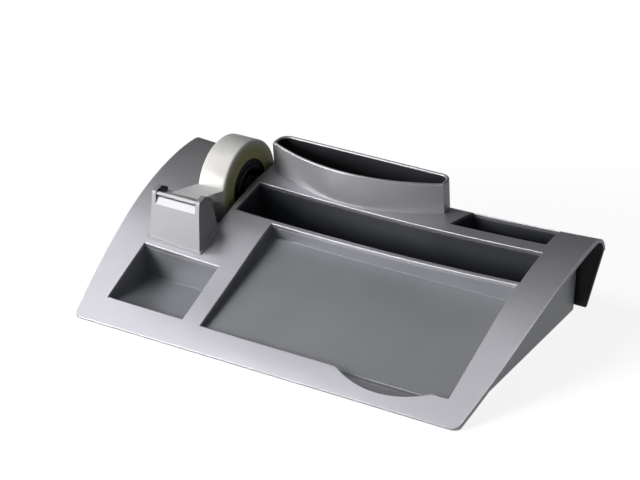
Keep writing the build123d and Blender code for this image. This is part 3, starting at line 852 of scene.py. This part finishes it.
ground_steel = Finish("ground steel", 0.45, 0.6)
ground_lines = ground_steel.group(brushed_lines, Across=300.0, Along=7000.0)
ground_steel.feed(
    Base_Color=ground_steel.tones(ground_lines["Line"], (0.80, 0.81, 0.82), (0.92, 0.92, 0.93)),
    Roughness=ground_steel.span(ground_lines["Line"], 0.42, 0.58),
)
ground_steel.bump(ground_lines["Line"], 0.000006)

plate_iron = Finish("rolled iron", 0.6, 0.8)
iron_grain = plate_iron.group(fine_grain, Speckle_Scale=900.0, Cloud_Scale=120.0)
iron_scale = plate_iron.tones(iron_grain["Speckle"], (0.09, 0.09, 0.095), (0.17, 0.17, 0.175))
iron_rust = plate_iron.span(iron_grain["Cloud"], 0.0, 0.6, from_low=0.60, from_high=0.72)
plate_iron.feed(
    Base_Color=plate_iron.blend(iron_rust, iron_scale, (0.20, 0.09, 0.04)),
    Roughness=plate_iron.span(iron_grain["Cloud"], 0.45, 0.75),
)
plate_iron.bump(iron_grain["Speckle"], 0.00006)
print("metals:", [metal.material.name for metal in (blade_steel, ground_steel, plate_iron)])

# %% [markdown]
# ### Adhesive tape
# Wound tape is clear film in hundreds of layers. Real layers of clear film would take very long to
# render, and would only add up to what is seen: face on they pile up to a milky white, and from
# the side the glue shows as a yellow-green disc with fine rings. A single layer, drawn to the
# blade, is milky and lets a little through, and where it lies flat on the steel it can hardly be
# seen. So the tape takes three finishes.

# %% Mix the face of the wound tape
tread_film = Finish("wound tape face", 0.36)
tread_grain = tread_film.group(fine_grain, Speckle_Scale=1500.0, Cloud_Scale=70.0)
tread_lines = tread_film.group(brushed_lines, Across=250.0, Along=2200.0)
tread_film.feed(
    Base_Color=tread_film.tones(tread_grain["Cloud"], (0.79, 0.775, 0.735), (0.85, 0.835, 0.79)),
    Roughness=tread_film.span(tread_lines["Line"], 0.26, 0.42),
    Subsurface_Weight=0.4,
    Subsurface_Radius=(1.0, 0.97, 0.90),
    Subsurface_Scale=0.004,
    Coat_Weight=0.15,
    Coat_Roughness=0.2,
)
tread_film.bump(tread_lines["Line"], 0.00001)
print("tape:", tread_film.material.name)

# %% Mix the side of the wound tape
axle_low, axle_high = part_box("tape_axle")
axle_y = (axle_low.y + axle_high.y) / 2
axle_z = (axle_low.z + axle_high.z) / 2
pale_start, pale_end = 0.0225, 0.0282  # the glue pales between these distances from the axle

glue_edge = Finish("wound tape side", 0.42)
glue_rings = glue_edge.group(
    wound_layers, Axle_Y=axle_y, Axle_Z=axle_z, Layers_Per_Metre=9000.0
)
glue_bands = glue_edge.tones(glue_rings["Band"], (0.44, 0.42, 0.15), (0.58, 0.56, 0.26))
glue_lines = glue_edge.blend(
    glue_edge.span(glue_rings["Layer"], 0.0, 0.3), glue_bands, (0.36, 0.34, 0.12)
)
glue_fade = glue_edge.span(
    glue_rings["Reach"], 0.0, 0.85, from_low=pale_start, from_high=pale_end
)
glue_edge.feed(
    Base_Color=glue_edge.blend(glue_fade, glue_lines, (0.80, 0.81, 0.70)),
    Roughness=glue_edge.span(glue_rings["Layer"], 0.34, 0.52),
    Subsurface_Weight=0.3,
    Subsurface_Radius=(1.0, 0.97, 0.80),
    Subsurface_Scale=0.003,
)
glue_edge.bump(glue_rings["Layer"], 0.00004)
print("tape:", glue_edge.material.name, "round an axle at y, z =", in_mm(axle_y, axle_z))

# %% Mix the free tape
lies_flat = 0.0052  # the tape lies on this much of the blade, counted from its teeth
flat_share = 0.12  # of its milkiness shows there

clear_film = Finish("free tape", 0.30)
film_lines = clear_film.group(brushed_lines, Across=40.0, Along=260.0)
film_leaves = blade_low.y + lies_flat
film_milky = clear_film.span(film_lines["Line"], 0.93, 0.96)
film_off = clear_film.span(
    clear_film.parts(clear_film.spot())["Y"],
    flat_share,
    1.0,
    from_low=film_leaves - 0.0003,
    from_high=film_leaves + 0.0006,
)
clear_film.feed(
    Base_Color=clear_film.tones(film_lines["Line"], (0.95, 0.945, 0.93), (0.97, 0.965, 0.95)),
    Alpha=clear_film.join(film_milky, film_off, "MULTIPLY"),
    Roughness=clear_film.span(film_lines["Line"], 0.40, 0.46),
    Sheen_Weight=1.0,
)
clear_film.bump(film_lines["Line"], 0.000002)
print("tape:", clear_film.material.name)

# %% [markdown]
# ## Dress the solids
# Most solids have their final shape already, so they only get a finish. Each could be dressed in
# a cell of its own, but one list shows at a glance which finish goes where. The drawer, the
# runners, the feet and the screws are dressed like the rest, because they show when the drawer
# is out or the organizer is turned over.

# %% Give every solid its finish
feet = [f"foot_{side}_{end}" for side in ("left", "right") for end in ("front", "rear")]
dress_list = [
    (shell_paint, ["top_shell"]),
    (cup_paint, ["pen_cup"]),
    (lit_panel_paint, ["drawer_front", "left_end_panel"]),
    (tower_paint, ["cutter_tower"]),
    (shaded_tray_paint, ["notes_tray", "clip_tray"]),
    (pocket_shade_paint, ["upright_slot", "card_pocket", "tape_well"]),
    (charcoal, ["drawer_tray", "drawer_runner_front", "drawer_runner_rear", "base_plate"]),
    (black_gloss, ["tape_axle", "tape_hub", "tape_core"]),
    (blade_steel, ["cutter_blade", "base_screws", "drawer_screws"]),
    (plate_iron, ["ballast_plate"]),
    (foot_rubber, ["drawer_bumper", *feet]),
    (tread_film, ["tape_roll"]),
    (clear_film, ["tape_strip"]),
]
for finish, members in dress_list:
    for member in members:
        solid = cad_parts[member]
        solid.data.materials.clear()
        solid.data.materials.append(finish.material)
dressed = sum(len(members) for _, members in dress_list)
print("dressed solids:", dressed, "of", len(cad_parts))

# %% [markdown]
# ## The wound roll
# The roll could stay a plain ring, but real tape has soft shoulders where the film bulges, and
# its face and sides are two different finishes. A small profile is spun round the axle, its outer
# rims are bevelled, and the faces that look sideways get the glue finish.

# %% Spin the roll
hair = 1e-6  # what is closer than this is in the same place


def spun_ring(inner, outer, left, right, steps, shoulder):
    """A bmesh ring round the tape's axle, with rounded outer rims."""
    ring = bmesh.new()
    corners = [(left, inner), (left, outer), (right, outer), (right, inner)]
    points = [ring.verts.new((x, axle_y, axle_z + r)) for x, r in corners]
    profile = [ring.edges.new((points[i], points[(i + 1) % 4])) for i in range(4)]
    bmesh.ops.spin(
        ring,
        geom=points + profile,
        cent=(0.0, axle_y, axle_z),
        axis=(1.0, 0.0, 0.0),
        angle=2 * math.pi,
        steps=steps,
        use_merge=True,
    )
    bmesh.ops.remove_doubles(ring, verts=ring.verts, dist=hair)
    bmesh.ops.recalc_face_normals(ring, faces=ring.faces)

    def on_outer_rim(edge):
        reach = [math.hypot(v.co.y - axle_y, v.co.z - axle_z) for v in edge.verts]
        level = abs(edge.verts[0].co.x - edge.verts[1].co.x) < hair
        return level and min(reach) > outer - hair

    bmesh.ops.bevel(
        ring,
        geom=[edge for edge in ring.edges if on_outer_rim(edge)],
        offset=shoulder,
        affect="EDGES",
        segments=5,
        profile=0.5,
        material=-1,
    )
    return ring


roll_low, roll_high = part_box("tape_roll")
core_low, core_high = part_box("tape_core")
core_gap = 0.00005
sideways = 0.9  # a face counts as the roll's side if its normal has at least this much X

roll_ring = spun_ring(
    inner=(core_high.z - core_low.z) / 2 + core_gap,
    outer=(roll_high.z - roll_low.z) / 2,
    left=roll_low.x,
    right=roll_high.x,
    steps=128,
    shoulder=0.0016,
)
for face in roll_ring.faces:
    face.smooth = True
    if abs(face.normal.x) > sideways:
        face.material_index = 1
wound_roll = made_piece(roll_ring, "wound_roll", tread_film.material, glue_edge.material)
wound_roll.data.set_sharp_from_angle(angle=math.radians(35))
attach(wound_roll, "roll")
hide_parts("tape_roll")
print("roll:", in_mm(*wound_roll.dimensions))

# %% [markdown]
# ## The toothed blade
# The solid blade is a flat toothed plate. In the picture its toothed front is bent down, and that
# bright lip is what catches the light. The outline of the plate is drawn flat with all its teeth
# and pulled up to a plate. A cut gives it a hinge line, the toothed part is turned down round that
# line, and only then is the whole laid on its sloping seat, inside the room of the flat one.

# %% Draw the plate with its teeth
tooth_pitch = 0.0013
tooth_deep = 0.0009
plate_thick = 0.0006
seat_slope = 0.34  # the seat falls this much per metre towards the back

seat_angle = math.atan(seat_slope)
plate_wide = blade_high.x - blade_low.x
plate_level = blade_high.y - blade_low.y - plate_thick * math.sin(seat_angle)
plate_long = plate_level / math.cos(seat_angle)
tooth_count = int(plate_wide / tooth_pitch)
tooth_wide = plate_wide / tooth_count
plate_outline = []
for tooth in range(tooth_count):
    plate_outline.append((tooth * tooth_wide, tooth_deep))
    plate_outline.append(((tooth + 0.5) * tooth_wide, 0.0))
plate_outline += [(plate_wide, tooth_deep), (plate_wide, plate_long), (0.0, plate_long)]
plate = bmesh.new()
plate_face = plate.faces.new([plate.verts.new((x, y, 0.0)) for x, y in plate_outline])
pulled = bmesh.ops.extrude_face_region(plate, geom=[plate_face])
lifted = [item for item in pulled["geom"] if isinstance(item, bmesh.types.BMVert)]
bmesh.ops.translate(plate, verts=lifted, vec=(0.0, 0.0, plate_thick))
print("teeth:", tooth_count, "on a plate of", in_mm(plate_wide, plate_long, plate_thick))

# %% Bend the lip and lay the blade down
lip_long = 0.0020
lip_turn = math.radians(45)
lip_end = lip_long - 0.0001  # what lies before this belongs to the lip, not to the hinge line

bmesh.ops.bisect_plane(
    plate,
    geom=plate.verts[:] + plate.edges[:] + plate.faces[:],
    plane_co=(0.0, lip_long, 0.0),
    plane_no=(0.0, 1.0, 0.0),
)
for face in plate.faces:
    if face.calc_center_median().y < lip_end:
        face.material_index = 1
bmesh.ops.rotate(
    plate,
    cent=(0.0, lip_long, 0.0),
    matrix=Matrix.Rotation(lip_turn, 3, "X"),
    verts=[point for point in plate.verts if point.co.y < lip_end],
)
bmesh.ops.triangulate(plate, faces=plate.faces)
bmesh.ops.recalc_face_normals(plate, faces=plate.faces)
seat_top = blade_high.z - plate_thick * math.cos(seat_angle)
laid = Matrix.Translation((blade_low.x, blade_low.y, seat_top))
sloped = Matrix.Rotation(-seat_angle, 4, "X")
bmesh.ops.transform(plate, matrix=laid @ sloped, verts=plate.verts)
toothed_blade = made_piece(plate, "toothed_blade", blade_steel.material, ground_steel.material)
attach(toothed_blade, "body")
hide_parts("cutter_blade")
print("blade:", in_mm(*toothed_blade.dimensions))

# %% [markdown]
# ## Measure the dressed model
# The size of the dressed model is measured and printed, beside the size of the solids printed at
# the start. The dressed model must not outgrow the solids.

# %% Measure and finish
shown_low, shown_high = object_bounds()
print("shown size:", in_mm(*(shown_high - shown_low)))
